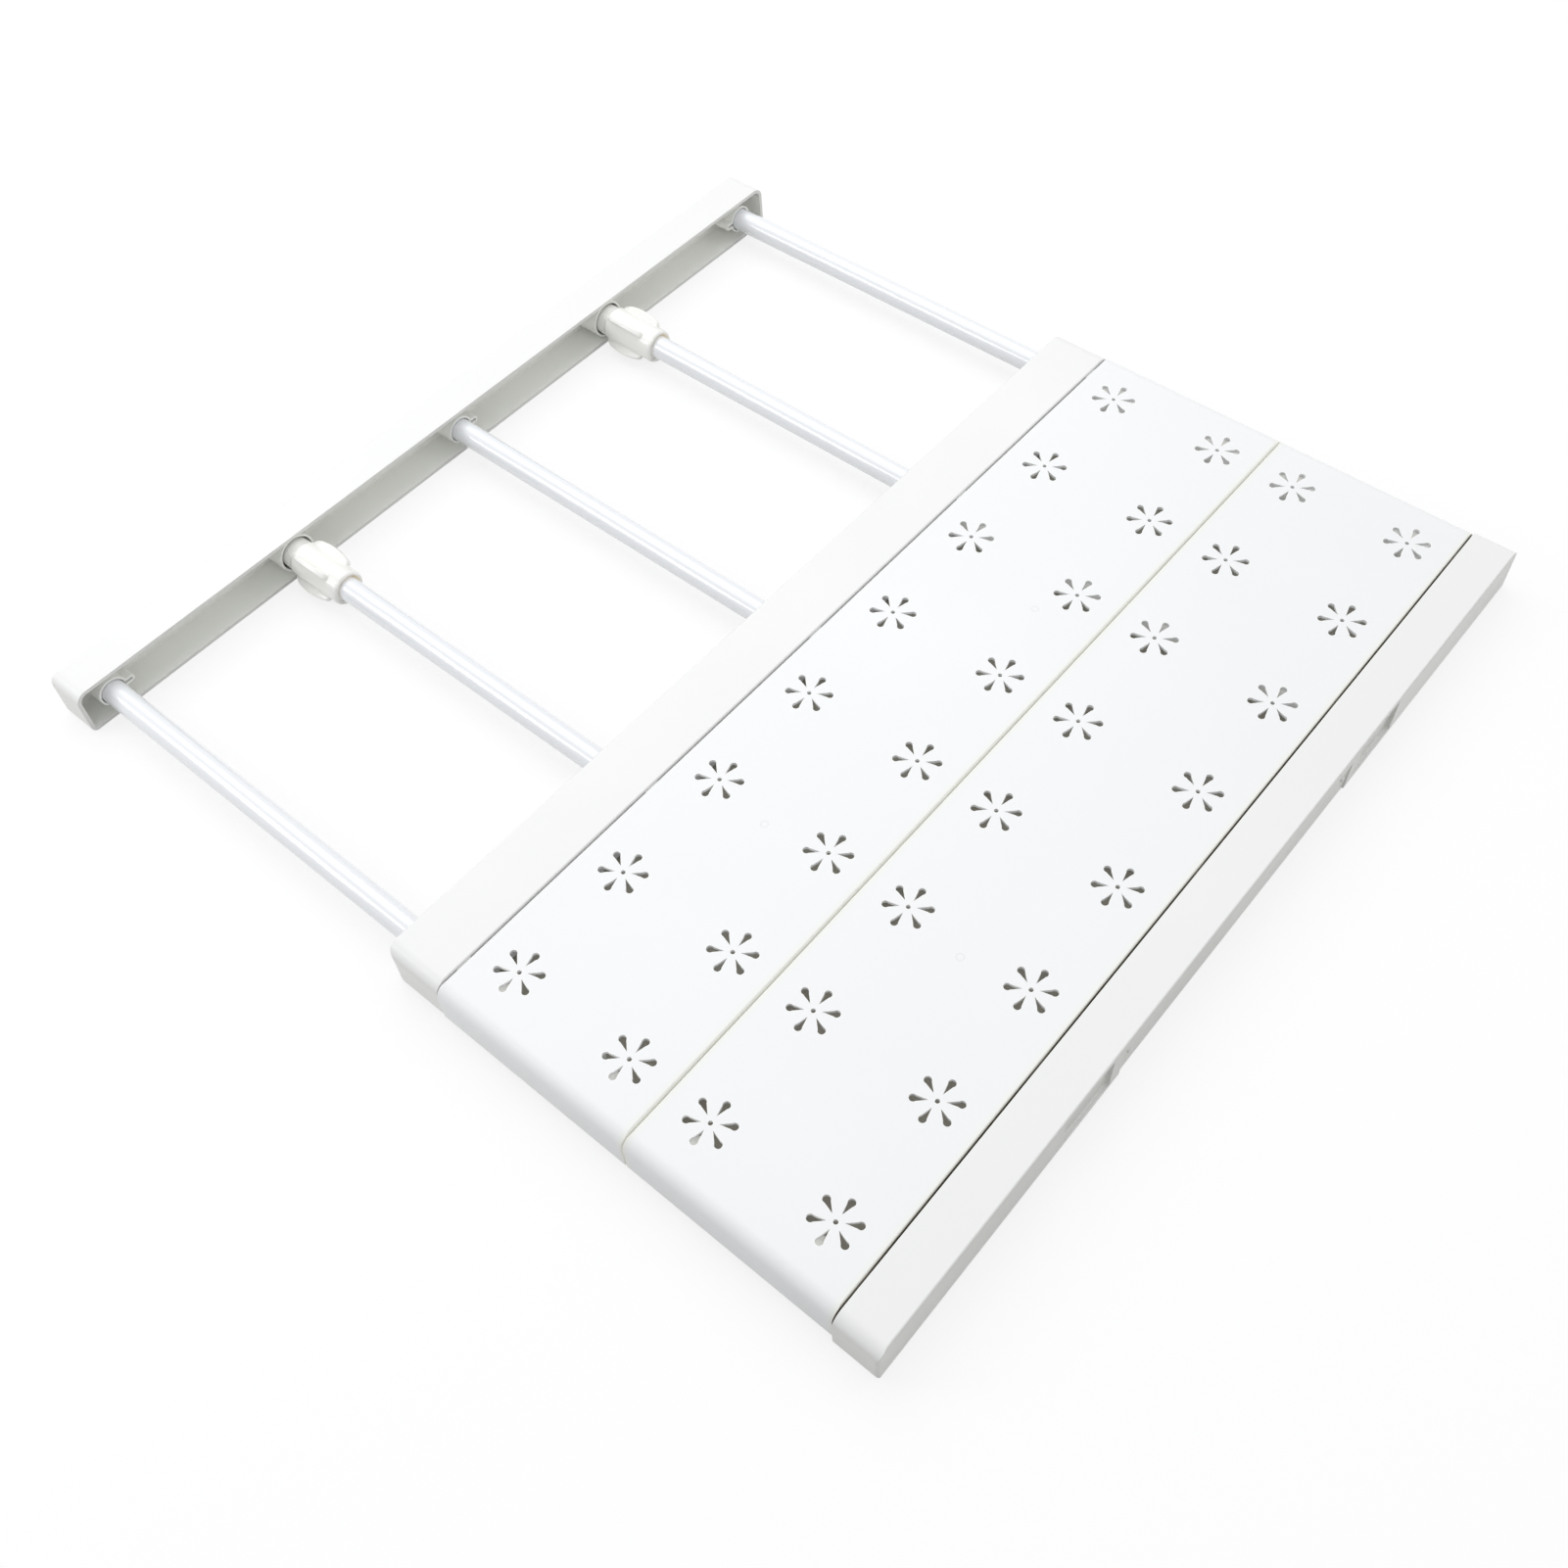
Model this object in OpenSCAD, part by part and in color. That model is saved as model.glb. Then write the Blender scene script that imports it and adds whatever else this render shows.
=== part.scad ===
/* [Overall] */
// Length of the two end rails, from the near end to the far end of the shelf
rail_len = 388; // [330:1:430]
// Clear span between the left rail and the middle rail, as pulled out
open_span = 169; // [150:1:185]
// Narrow seam between neighbouring pieces of the deck
seam = 0.7; // [0.5:0.1:1.2]

/* [End rails] */
// Width of an end rail, across the shelf
rail_w = 16.8; // [16:0.1:22]
// Height of an end rail
rail_h = 20; // [19:0.5:26]
// Thickness of a rail's top, bottom and end walls
rail_flange_t = 1.6; // [1.2:0.1:2]
// Thickness of a rail's tall outer wall
rail_back_t = 2.4; // [2:0.1:3]
// Radius where a rail's top turns down at its two ends
rail_end_r = 5; // [3:0.5:7]
// Radius where a rail's bottom turns up at its two ends
rail_foot_r = 2.5; // [2:0.5:4]
// Radius along a rail's long outer edges
rail_edge_r = 0.7; // [0.4:0.1:2]
// Radius of a rail's upright outer corners
rail_plan_r = 1.3; // [0.8:0.1:4]
// Length of each shallow pocket in a rail's outer wall
pocket_len = 26; // [18:1:34]
// Height of each pocket
pocket_h = 16.4; // [8:0.1:16.6]
// Depth of each pocket
pocket_depth = 1.4; // [0.6:0.1:1.5]
// Plain wall between each pocket and the shallow middle panel of the outer wall
panel_gap = 5.8; // [4:0.1:20]
// Height of the middle panel, from the bottom edge
panel_h = 15; // [10:0.5:16]
// Depth of the middle panel
panel_depth = 0.7; // [0.4:0.1:1]

/* [Tube sockets] */
// How far a socket's mouth lies behind the rail's open face
socket_inset = 1; // [0.5:0.1:2]
// Wall of a tube socket
socket_wall = 0.9; // [0.7:0.1:1.2]
// Radial clearance of a thin tube in its socket
socket_clearance = 0.35; // [0.2:0.05:0.5]
// Reach of the relief slot's tip from the tube's axis
relief_reach = 9.5; // [8.5:0.1:11]
// Open width of the relief slot
relief_gap = 1.2; // [0.8:0.1:2]
// Wall of the cups that hold the turning nuts
cup_wall = 0.9; // [0.7:0.1:1.3]
// Radial gap between a cup and the nut's neck
neck_gap = 0.6; // [0.4:0.05:0.8]

/* [Tubes] */
// Distance of the outermost tubes' axes from the rails' ends
tube_margin = 14.4; // [13:0.1:16]
// Diameter of the thin tubes that slide
inner_tube_d = 9.8; // [9:0.1:10]
// Diameter of the fixed tubes under the deck
outer_tube_d = 12.4; // [12.2:0.1:12.8]
// Wall of every tube
tube_wall = 0.7; // [0.5:0.1:0.9]
// Length of a plain thin tube that stays inside its fixed tube, as pulled out
glide_overlap = 54.5; // [40:0.5:55]
// The same length on the two tubes that carry a turning nut
screw_overlap = 38.5; // [30:0.5:39]

/* [Boards] */
// Width of a board, across the shelf
board_w = 81.8; // [80:0.1:86]
// How far a board stops short of the rails' ends
board_inset = 1; // [0:0.5:3]
// Height of a board
board_h = 17; // [16:0.5:19]
// Thickness of a board's top
board_top_t = 1.3; // [1.2:0.1:2.2]
// Thickness of a board's side and end walls
board_skirt_t = 1.8; // [1.4:0.1:2.4]
// Radius where a board's top turns down at its two ends
board_end_r = 5.1; // [3:0.1:7]
// Radius along a board's long top edges
board_edge_r = 0.6; // [0.3:0.1:1]

/* [Flower cut-outs] */
// Rows of flowers along a board
flower_rows = 8; // [4:1:8]
// Distance of the outermost rows from a board's ends
row_margin = 22.2; // [18:0.1:30]
// Distance between the two columns of a board
column_pitch = 48.8; // [40:0.1:54]
// Petals of one flower
petal_count = 6; // [5:1:6]
// Reach of a petal's round end from the flower's centre
petal_reach = 8.8; // [7:0.1:9.5]
// Radius of a petal's round end
petal_r = 1.3; // [0.9:0.05:1.5]
// Distance of a petal's point from the flower's centre
petal_point = 2.8; // [2.2:0.1:3.4]
// Diameter of the hole at a flower's centre
flower_eye_d = 1.6; // [1.2:0.1:2.2]

/* [Middle rail] */
// Width of the middle rail
middle_w = 24; // [22:0.5:28]
// How far the middle rail stops short of the end rails' ends
middle_inset = 1.5; // [0:0.5:3]
// Height of the middle rail
middle_h = 17.5; // [17.5:0.1:19]
// Thickness of the middle rail's walls
middle_t = 2.2; // [1.8:0.1:2.6]
// Radius of the middle rail's upright outer corners
middle_plan_r = 4; // [2:0.5:6]

/* [Turning nuts] */
// Length of a nut that stands out of its cup
nut_reach = 31.2; // [26:0.1:33]
// Diameter of a nut's barrel
nut_barrel_d = 14.6; // [14.4:0.1:15.6]
// Diameter of a nut's neck, which turns in the cup
nut_neck_d = 13.6; // [13.4:0.1:14.1]
// Diameter over a nut's grip fins
nut_fin_d = 21; // [18:0.1:22.4]
// Grip fins on a nut
nut_fins = 4; // [3:1:6]
// Thickness of a grip fin
nut_fin_t = 2.2; // [1.6:0.1:3]
// Diameter of the screw thread inside a nut, over its crests
thread_d = 11.4; // [11.2:0.1:12.1]

/* [Hidden] */

$fn = 48;

// Fits and overruns
run_fit = 0.06;
seat_fit = 0.05;
shoulder_fit = 0.3;
overrun = 1;

// Rows of tubes from the far end to the near end, and the way each relief slot points
tube_steps = [2, 1, 0, -1, -2];
relief_ways = [-1, 0, 1, 0, 1];

// Lengths and distances that follow the rails' length
board_len = rail_len - 2 * board_inset;
middle_len = rail_len - 2 * middle_inset;
tube_pitch = (rail_len / 2 - tube_margin) / tube_steps[0];
row_pitch = (board_len - 2 * row_margin) / (flower_rows - 1);
panel_len = 2 * tube_pitch - pocket_len - 2 * panel_gap;

// Round pins that stand in the middle panel, near its ends
panel_pin_r = 1;
panel_pin_margin = 4.4;

// Places across the shelf, measured from its middle
total_w = 2 * rail_w + open_span + middle_w + 2 * board_w + 3 * seam;
outer_x = total_w / 2;
open_x = outer_x - rail_w;
back_x = outer_x - rail_back_t;
mouth_x = open_x + socket_inset;
middle_x = open_span - open_x;
board_left_x = middle_x + middle_w + seam;
board_right_x = board_left_x + board_w + seam;

// Heights above the surface that the end rails stand on
axis_z = rail_h / 2;
board_z = rail_h - board_h;
middle_z = rail_h - middle_h;

// Radii of the tubes, inside and out
inner_r = inner_tube_d / 2;
inner_bore_r = inner_r - tube_wall;
outer_r = outer_tube_d / 2;
outer_bore_r = outer_r - tube_wall;

// Bushes that guide the thin tubes at the middle rail
bush_len = 8;
bush_lip_t = 1;
bush_lip_step = 0.6;
bush_lip_r = outer_r + bush_lip_step;
tunnel_wall = 1.1;
tunnel_r = outer_r + seat_fit + tunnel_wall;
pad_w = 6;

// Plugs, caps and feet in the tubes' ends
spigot_len = 10;
cap_spigot_len = 4;
head_t = 1.2;
glide_head_len = 6;
glide_hollow_r = 2.4;

// Places of the tubes' ends
outer_start_x = middle_x + bush_len + seat_fit;
outer_end_x = back_x - head_t - 2 * seat_fit;
glide_start_x = -back_x + head_t + 2 * seat_fit;
glide_end_x = middle_x + glide_overlap;
screw_end_x = middle_x + screw_overlap;

// Threaded plug at the left end of a screw tube
thread_len = 14;
thread_gap = 2.3;
screw_start_x = -back_x + thread_gap + thread_len;

// Nut: the foot that centres its neck in the cup, the barrel, collar and fins
cup_bore_r = nut_neck_d / 2 + neck_gap;
nut_start_x = -back_x + shoulder_fit;
nut_end_x = -mouth_x + nut_reach;
nut_foot_len = 2.5;
barrel_gap = 3.6;
barrel_chamfer = 1.4;
collar_len = 5.6;
collar_chamfer = 0.9;
fin_gap = 2.3;
fin_crest_r = 30;
fin_end_r = 2.8;
fin_phase = 36;

// Twist lock: a cam journal on the screw tube and the split ring that it swings
cam_offset = 0.8;
journal_r = 3;
ring_gap = 0.35;
ring_r = outer_bore_r - ring_gap;
ring_len = 8.6;
ring_end_gap = 0.2;
ring_split = 1;
lock_collar_t = 1.5;
lock_collar_gap = 0.18;
lock_collar_r = outer_bore_r - lock_collar_gap;
lock_cap_r = 4.6;

// Half width of a petal's straight part at the middle of its round end
petal_shoulder_share = 0.92;

// Ribs and clips under a board
rib_t = 1.5;
rib_x = 10;
cross_rib_drop = 9;
clip_wall = 1.6;
clip_len = 7;
clip_fit = 0.15;
clip_foot_gap = 1.2;
clip_mouth_share = 0.8;
clip_r = outer_r + clip_fit;

function tube_y(i) = tube_steps[i] * tube_pitch;

// Lays a flat outline drawn in (y, z) along the x direction
module along_x(x0, len) {
    translate([x0, 0, 0])
        rotate([90, 0, 90])
            linear_extrude(len) children();
}

// Lays a flat outline drawn in (x, z) along the y direction, centred on the middle
module along_y(len) {
    translate([0, len / 2, 0])
        rotate([90, 0, 0])
            linear_extrude(len) children();
}

// Rectangle from [x0, y0] to [x1, y1] with its own radius at the low and the high corners
module soft_rect(x0, y0, x1, y1, low_r, high_r) {
    translate([x0, y0 + low_r]) square([x1 - x0, y1 - y0 - low_r - high_r]);
    if (low_r > 0) {
        translate([x0 + low_r, y0]) square([x1 - x0 - 2 * low_r, low_r]);
        for (x = [x0 + low_r, x1 - low_r]) translate([x, y0 + low_r]) circle(low_r);
    }
    if (high_r > 0) {
        translate([x0 + high_r, y1 - high_r]) square([x1 - x0 - 2 * high_r, high_r]);
        for (x = [x0 + high_r, x1 - high_r]) translate([x, y1 - high_r]) circle(high_r);
    }
}

// A rectangle whose two corners on the high x side are round
module one_side_soft_rect(x0, y0, x1, y1, r) {
    translate([x0, y0]) square([x1 - x0 - r, y1 - y0]);
    translate([x0, y0 + r]) square([x1 - x0, y1 - y0 - 2 * r]);
    for (y = [y0 + r, y1 - r]) translate([x1 - r, y]) circle(r);
}

// Circle with a straight-sided way out of it along y: up for a positive reach, down for a negative one
module arch(r, reach) {
    circle(r);
    translate([-r, min(0, reach)]) square([2 * r, abs(reach)]);
}

// A bar laid along x on the axis of tube i
module rod(i, x0, x1, r) {
    translate([x0, tube_y(i), axis_z])
        rotate([0, 90, 0])
            cylinder(r = r, h = x1 - x0);
}

// A tube on the axis of tube row i
module pipe(i, x0, x1, r, bore_r) {
    difference() {
        rod(i, x0, x1, r);
        rod(i, x0 - overrun, x1 + overrun, bore_r);
    }
}

// A tube end's plug: a spigot in the tube and a head that covers its wall
module end_plug(i, face_x, way, spigot_length, spigot_r, head_r, head_length) {
    spigot_end = face_x - way * spigot_length;
    head_start = face_x + way * seat_fit;
    head_end = head_start + way * head_length;
    rod(i, min(spigot_end, head_start), max(spigot_end, head_start), spigot_r);
    rod(i, min(head_start, head_end), max(head_start, head_end), head_r);
}

// Outer form of an end rail at the right side of the shelf
module rail_block() {
    intersection() {
        along_x(open_x, rail_w)
            soft_rect(-rail_len / 2, 0, rail_len / 2, rail_h, rail_foot_r, rail_end_r);
        along_y(rail_len)
            one_side_soft_rect(open_x, 0, outer_x, rail_h, rail_edge_r);
        linear_extrude(rail_h)
            one_side_soft_rect(open_x, -rail_len / 2, outer_x, rail_len / 2, rail_plan_r);
    }
}

// Hollow of an end rail, open towards the middle of the shelf
module rail_hollow() {
    t = rail_flange_t;
    along_x(open_x - overrun, back_x - open_x + overrun)
        soft_rect(-rail_len / 2 + t, t, rail_len / 2 - t, rail_h - t, rail_foot_r - t, rail_end_r - t);
}

// Shallow pockets beside the nut tubes, and the long middle panel
module rail_recesses() {
    pocket_z = axis_z - pocket_h / 2;
    for (i = [1, 3])
        translate([outer_x - pocket_depth, tube_y(i) - pocket_len / 2, pocket_z])
            cube([pocket_depth + overrun, pocket_len, pocket_h]);
    translate([outer_x - panel_depth, -panel_len / 2, -overrun])
        cube([panel_depth + overrun, panel_len, panel_h + overrun]);
}

// Shell of an end rail, drawn at the right side
module rail_shell() {
    difference() {
        rail_block();
        rail_hollow();
        rail_recesses();
    }
    for (side = [-1, 1])
        translate([(back_x + outer_x) / 2, side * (panel_len / 2 - panel_pin_margin), axis_z])
            rotate([0, 90, 0])
                cylinder(r = panel_pin_r, h = (outer_x - back_x) / 2);
}

// Round part of a socket, with the relief slot that lets its wall spring
module keyhole(r, half_w, reach, way) {
    circle(r);
    if (way != 0) {
        translate([min(0, way * (reach - half_w)), -half_w]) square([reach - half_w, 2 * half_w]);
        translate([way * (reach - half_w), 0]) circle(half_w);
    }
}

// A moulded socket that stands on the rail's outer wall
module socket(i, bore_r, wall, way) {
    along_x(mouth_x, back_x - mouth_x)
        translate([tube_y(i), axis_z])
            difference() {
                keyhole(bore_r + wall, relief_gap / 2 + wall, relief_reach, way);
                keyhole(bore_r, relief_gap / 2, relief_reach - wall, way);
            }
}

module left_rail() {
    color("whitesmoke")
        mirror([1, 0, 0]) {
            rail_shell();
            for (i = [0, 2, 4])
                socket(i, inner_r + socket_clearance, socket_wall, relief_ways[i]);
            for (i = [1, 3])
                socket(i, cup_bore_r, cup_wall, 0);
        }
}

module right_rail() {
    color("whitesmoke") {
        rail_shell();
        for (i = [0:4])
            socket(i, outer_r + seat_fit, socket_wall, 0);
    }
}

// Outer form of the middle rail, with its two upright corners round on the open side
module middle_block() {
    x1 = middle_x + middle_w;
    intersection() {
        along_x(middle_x, middle_w)
            soft_rect(-middle_len / 2, middle_z, middle_len / 2, rail_h, 0, board_end_r);
        translate([0, 0, middle_z])
            linear_extrude(middle_h)
                mirror([1, 0, 0])
                    one_side_soft_rect(-x1, -middle_len / 2, -middle_x, middle_len / 2, middle_plan_r);
        along_y(middle_len)
            soft_rect(middle_x, middle_z, x1, rail_h, 0, board_edge_r);
    }
}

module middle_rail() {
    x1 = middle_x + middle_w;
    color("whitesmoke")
        difference() {
            union() {
                difference() {
                    middle_block();
                    along_x(middle_x + middle_t, middle_w - 2 * middle_t)
                        soft_rect(-middle_len / 2 + middle_t, middle_z - overrun,
                                  middle_len / 2 - middle_t, rail_h - middle_t, 0, board_end_r - middle_t);
                }
                for (i = [0:4]) {
                    along_x(middle_x + middle_t / 2, middle_w - middle_t)
                        translate([tube_y(i), axis_z]) arch(tunnel_r, rail_h - middle_t / 2 - axis_z);
                    translate([x1 - middle_t / 2, tube_y(i) - pad_w / 2, middle_z])
                        cube([middle_t / 2 + seam - seat_fit, pad_w, middle_h - 2 * board_edge_r]);
                }
            }
            for (i = [0:4]) {
                rod(i, middle_x - overrun, x1 + seam + overrun, outer_r + seat_fit);
                rod(i, middle_x - overrun, middle_x + bush_lip_t, bush_lip_r + seat_fit);
            }
        }
}

// One petal: a round end with straight sides that run to a point
module petal() {
    centre_d = petal_reach - petal_r;
    shoulder = petal_shoulder_share * petal_r;
    translate([centre_d, 0]) circle(petal_r, $fn = 24);
    polygon([[petal_point, 0], [centre_d, shoulder], [centre_d, -shoulder]]);
}

module flower() {
    circle(flower_eye_d / 2, $fn = 16);
    for (k = [0:petal_count - 1])
        rotate(90 + k * 360 / petal_count) petal();
}

// All the flowers of one board, on a plan centred on the board
module flower_plan() {
    for (row = [0:flower_rows - 1])
        for (column = [-1, 1])
            translate([column * column_pitch / 2, (row - (flower_rows - 1) / 2) * row_pitch])
                flower();
}

// The way a fixed tube takes through a board's walls, open below so that the board drops on
module tube_notch(i, x0, x1) {
    along_x(x0, x1 - x0)
        translate([tube_y(i), axis_z]) arch(clip_r, board_z - overrun - axis_z);
}

// Long ribs and snap clips under the middle of a board
module board_clips(xc) {
    foot_z = board_z + clip_foot_gap;
    rib_half = board_len / 2 - board_skirt_t / 2;
    difference() {
        for (side = [-1, 1]) {
            translate([xc + side * rib_x - rib_t / 2, -rib_half, axis_z])
                cube([rib_t, 2 * rib_half, rail_h - board_top_t / 2 - axis_z - board_end_r / 2]);
            translate([xc + side * rib_x - rib_t / 2, -rib_half + board_end_r, axis_z])
                cube([rib_t, 2 * (rib_half - board_end_r), rail_h - board_top_t / 2 - axis_z]);
            for (i = [0:4])
                intersection() {
                    clip_x = xc + side * rib_x;
                    rod(i, clip_x - clip_len / 2, clip_x + clip_len / 2, clip_r + clip_wall);
                    translate([xc - board_w / 2, -board_len / 2, foot_z])
                        cube([board_w, board_len, rail_h - board_top_t / 2 - foot_z]);
                }
        }
        for (i = [0:4]) {
            rod(i, xc - board_w / 2, xc + board_w / 2, clip_r);
            translate([xc - board_w / 2, tube_y(i) - clip_mouth_share * clip_r, board_z])
                cube([board_w, 2 * clip_mouth_share * clip_r, axis_z - board_z]);
        }
    }
}

// Ribs across a board, midway between its flowers
module board_cross_ribs(xc) {
    drop = cross_rib_drop;
    for (k = [-3, -1, 1, 3])
        translate([xc - board_w / 2 + board_skirt_t / 2, k * row_pitch - rib_t / 2, rail_h - drop])
            cube([board_w - board_skirt_t, rib_t, drop - board_top_t / 2]);
}

module board(x0) {
    x1 = x0 + board_w;
    t = board_skirt_t;
    xc = (x0 + x1) / 2;
    difference() {
        intersection() {
            along_x(x0, board_w)
                soft_rect(-board_len / 2, board_z, board_len / 2, rail_h, 0, board_end_r);
            along_y(board_len)
                soft_rect(x0, board_z, x1, rail_h, 0, board_edge_r);
        }
        along_x(x0 + t, board_w - 2 * t)
            soft_rect(-board_len / 2 + t, board_z - overrun, board_len / 2 - t, rail_h - board_top_t,
                      0, board_end_r - board_top_t);
        translate([xc, 0, rail_h - board_top_t - overrun])
            linear_extrude(board_top_t + 2 * overrun) flower_plan();
        for (i = [0:4])
            tube_notch(i, x0 - overrun, x1 + overrun);
    }
    board_clips(xc);
    board_cross_ribs(xc);
}

module board_left() {
    color("white") board(board_left_x);
}

module board_right() {
    color("white") board(board_right_x);
}

module outer_tube(i) {
    color("lavender") pipe(i, outer_start_x, outer_end_x, outer_r, outer_bore_r);
}

module glide_tube(i) {
    color("aliceblue") pipe(i, glide_start_x, glide_end_x, inner_r, inner_bore_r);
}

module screw_tube(i) {
    color("aliceblue") pipe(i, screw_start_x, screw_end_x, inner_r, inner_bore_r);
}

module guide_bush(i) {
    color("gainsboro")
        difference() {
            union() {
                rod(i, middle_x, middle_x + bush_len, outer_r);
                rod(i, middle_x, middle_x + bush_lip_t - seat_fit, bush_lip_r);
            }
            rod(i, middle_x - overrun, middle_x + bush_len + overrun, inner_r + run_fit);
        }
}

// Foot in the left end of a plain thin tube, which stands on the left rail's outer wall
module tube_foot(i) {
    color("gainsboro") end_plug(i, glide_start_x, -1, spigot_len, inner_bore_r - seat_fit, inner_r, head_t);
}

// Plug at the right end of a plain thin tube, which glides in the fixed tube
module glide_plug(i) {
    head_r = outer_bore_r - run_fit;
    hollow_start = glide_end_x - spigot_len - overrun;
    hollow_end = glide_end_x + glide_head_len + overrun;
    color("gainsboro")
        difference() {
            end_plug(i, glide_end_x, 1, spigot_len, inner_bore_r - seat_fit, head_r, glide_head_len);
            rod(i, hollow_start, hollow_end, glide_hollow_r);
        }
}

// Cap in the right end of a fixed tube, which stands on the right rail's outer wall
module tube_cap(i) {
    color("gainsboro") end_plug(i, outer_end_x, 1, cap_spigot_len, outer_bore_r - seat_fit, outer_r, head_t);
}

// Threaded plug in the left end of a screw tube, drawn over the crests of its thread
module threaded_plug(i) {
    thread_r = thread_d / 2 - run_fit;
    color("gainsboro")
        end_plug(i, screw_start_x, -1, spigot_len, inner_bore_r - seat_fit, thread_r, thread_len);
}

// Half section of a nut before its bore is cut, as [radius, place along the tube]
module nut_section() {
    neck_r = nut_neck_d / 2;
    barrel_r = nut_barrel_d / 2;
    barrel_x = barrel_gap - mouth_x;
    polygon([
        [0, nut_start_x],
        [cup_bore_r - run_fit, nut_start_x],
        [cup_bore_r - run_fit, nut_start_x + nut_foot_len],
        [neck_r, nut_start_x + nut_foot_len],
        [neck_r, barrel_x],
        [barrel_r, barrel_x + barrel_chamfer],
        [barrel_r, nut_end_x - collar_chamfer],
        [barrel_r - collar_chamfer, nut_end_x],
        [0, nut_end_x]
    ]);
}

// One grip fin standing up in z: a slice of a large round-rimmed disc, cut to length
module nut_fin() {
    tip_r = nut_fin_d / 2;
    root_r = (thread_d + nut_barrel_d) / 4;
    x0 = barrel_gap + fin_gap - mouth_x;
    x1 = nut_end_x - collar_len;
    half_t = nut_fin_t / 2;
    intersection() {
        translate([(x0 + x1) / 2, 0, tip_r - fin_crest_r])
            rotate([90, 0, 0])
                rotate_extrude($fn = 240) {
                    translate([0, -half_t]) square([fin_crest_r - half_t, nut_fin_t]);
                    translate([fin_crest_r - half_t, 0]) circle(half_t, $fn = 24);
                }
        translate([0, half_t, 0])
            rotate([90, 0, 0])
                linear_extrude(nut_fin_t)
                    soft_rect(x0, root_r, x1, tip_r + fin_end_r / 4, 0, fin_end_r);
    }
}

module nut(i) {
    color("ivory")
        difference() {
            union() {
                translate([0, tube_y(i), axis_z])
                    rotate([0, 90, 0])
                        rotate_extrude() nut_section();
                for (k = [0:nut_fins - 1])
                    translate([0, tube_y(i), axis_z])
                        rotate([fin_phase + k * 360 / nut_fins - 90, 0, 0])
                            nut_fin();
            }
            rod(i, nut_start_x - overrun, nut_end_x + overrun, thread_d / 2);
        }
}

// A bar on the cam's own axis, which lies above the axis of tube row i
module cam_rod(i, x0, x1, r) {
    translate([0, 0, cam_offset]) rod(i, x0, x1, r);
}

// Cam on the inner end of a screw tube
module lock_core(i) {
    collar_end = screw_end_x + seat_fit + lock_collar_t;
    journal_end = collar_end + ring_len + 2 * ring_end_gap;
    color("gainsboro") {
        end_plug(i, screw_end_x, 1, spigot_len, inner_bore_r - seat_fit, lock_collar_r, lock_collar_t);
        cam_rod(i, collar_end, journal_end, journal_r);
        rod(i, journal_end, journal_end + lock_collar_t, lock_cap_r);
    }
}

// Split ring on the cam, which jams in the fixed tube when the screw tube is twisted
module lock_ring(i) {
    ring_start = screw_end_x + seat_fit + lock_collar_t + ring_end_gap;
    ring_end = ring_start + ring_len;
    color("dimgray")
        difference() {
            rod(i, ring_start, ring_end, ring_r);
            cam_rod(i, ring_start - overrun, ring_end + overrun, journal_r + run_fit);
            translate([ring_start - overrun, tube_y(i) - ring_split / 2, axis_z])
                cube([ring_len + 2 * overrun, ring_split, ring_r + overrun]);
        }
}

left_rail();
middle_rail();
right_rail();
board_left();
board_right();
outer_tube(0);  // outer_tube_1
outer_tube(1);  // outer_tube_2
outer_tube(2);  // outer_tube_3
outer_tube(3);  // outer_tube_4
outer_tube(4);  // outer_tube_5
glide_tube(0);  // glide_tube_1
glide_tube(2);  // glide_tube_3
glide_tube(4);  // glide_tube_5
screw_tube(1);  // screw_tube_2
screw_tube(3);  // screw_tube_4
guide_bush(0);  // guide_bush_1
guide_bush(1);  // guide_bush_2
guide_bush(2);  // guide_bush_3
guide_bush(3);  // guide_bush_4
guide_bush(4);  // guide_bush_5
tube_foot(0);  // tube_foot_1
tube_foot(2);  // tube_foot_3
tube_foot(4);  // tube_foot_5
glide_plug(0);  // glide_plug_1
glide_plug(2);  // glide_plug_3
glide_plug(4);  // glide_plug_5
tube_cap(0);  // tube_cap_1
tube_cap(1);  // tube_cap_2
tube_cap(2);  // tube_cap_3
tube_cap(3);  // tube_cap_4
tube_cap(4);  // tube_cap_5
threaded_plug(1);  // threaded_plug_2
threaded_plug(3);  // threaded_plug_4
nut(1);  // nut_2
nut(3);  // nut_4
lock_core(1);  // lock_core_2
lock_core(3);  // lock_core_4
lock_ring(1);  // lock_ring_2
lock_ring(3);  // lock_ring_4
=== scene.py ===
"""Looks of the pull-out wardrobe shelf: finishes, turned and moulded detail, light and camera."""

import logging
import math
from dataclasses import dataclass, field
from enum import Enum
from typing import Sequence

import bmesh
import bpy
from bpy.types import Material, Node, NodeOutputs, NodeSocket, NodeTree, Object
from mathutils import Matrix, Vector


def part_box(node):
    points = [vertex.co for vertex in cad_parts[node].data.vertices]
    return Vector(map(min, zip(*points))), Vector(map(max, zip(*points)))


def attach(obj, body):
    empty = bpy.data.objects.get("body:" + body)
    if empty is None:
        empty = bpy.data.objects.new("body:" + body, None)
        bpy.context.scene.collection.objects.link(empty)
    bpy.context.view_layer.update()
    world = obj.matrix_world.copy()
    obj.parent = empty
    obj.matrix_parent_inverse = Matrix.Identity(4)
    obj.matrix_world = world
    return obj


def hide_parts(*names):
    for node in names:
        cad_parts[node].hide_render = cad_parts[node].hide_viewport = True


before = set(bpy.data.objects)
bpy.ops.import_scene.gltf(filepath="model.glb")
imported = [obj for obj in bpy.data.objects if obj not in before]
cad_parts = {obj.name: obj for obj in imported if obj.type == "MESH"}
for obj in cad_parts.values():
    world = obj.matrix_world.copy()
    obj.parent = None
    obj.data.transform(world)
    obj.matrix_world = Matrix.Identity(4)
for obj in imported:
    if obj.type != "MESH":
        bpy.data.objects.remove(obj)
log = logging.getLogger("shelf")

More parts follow.
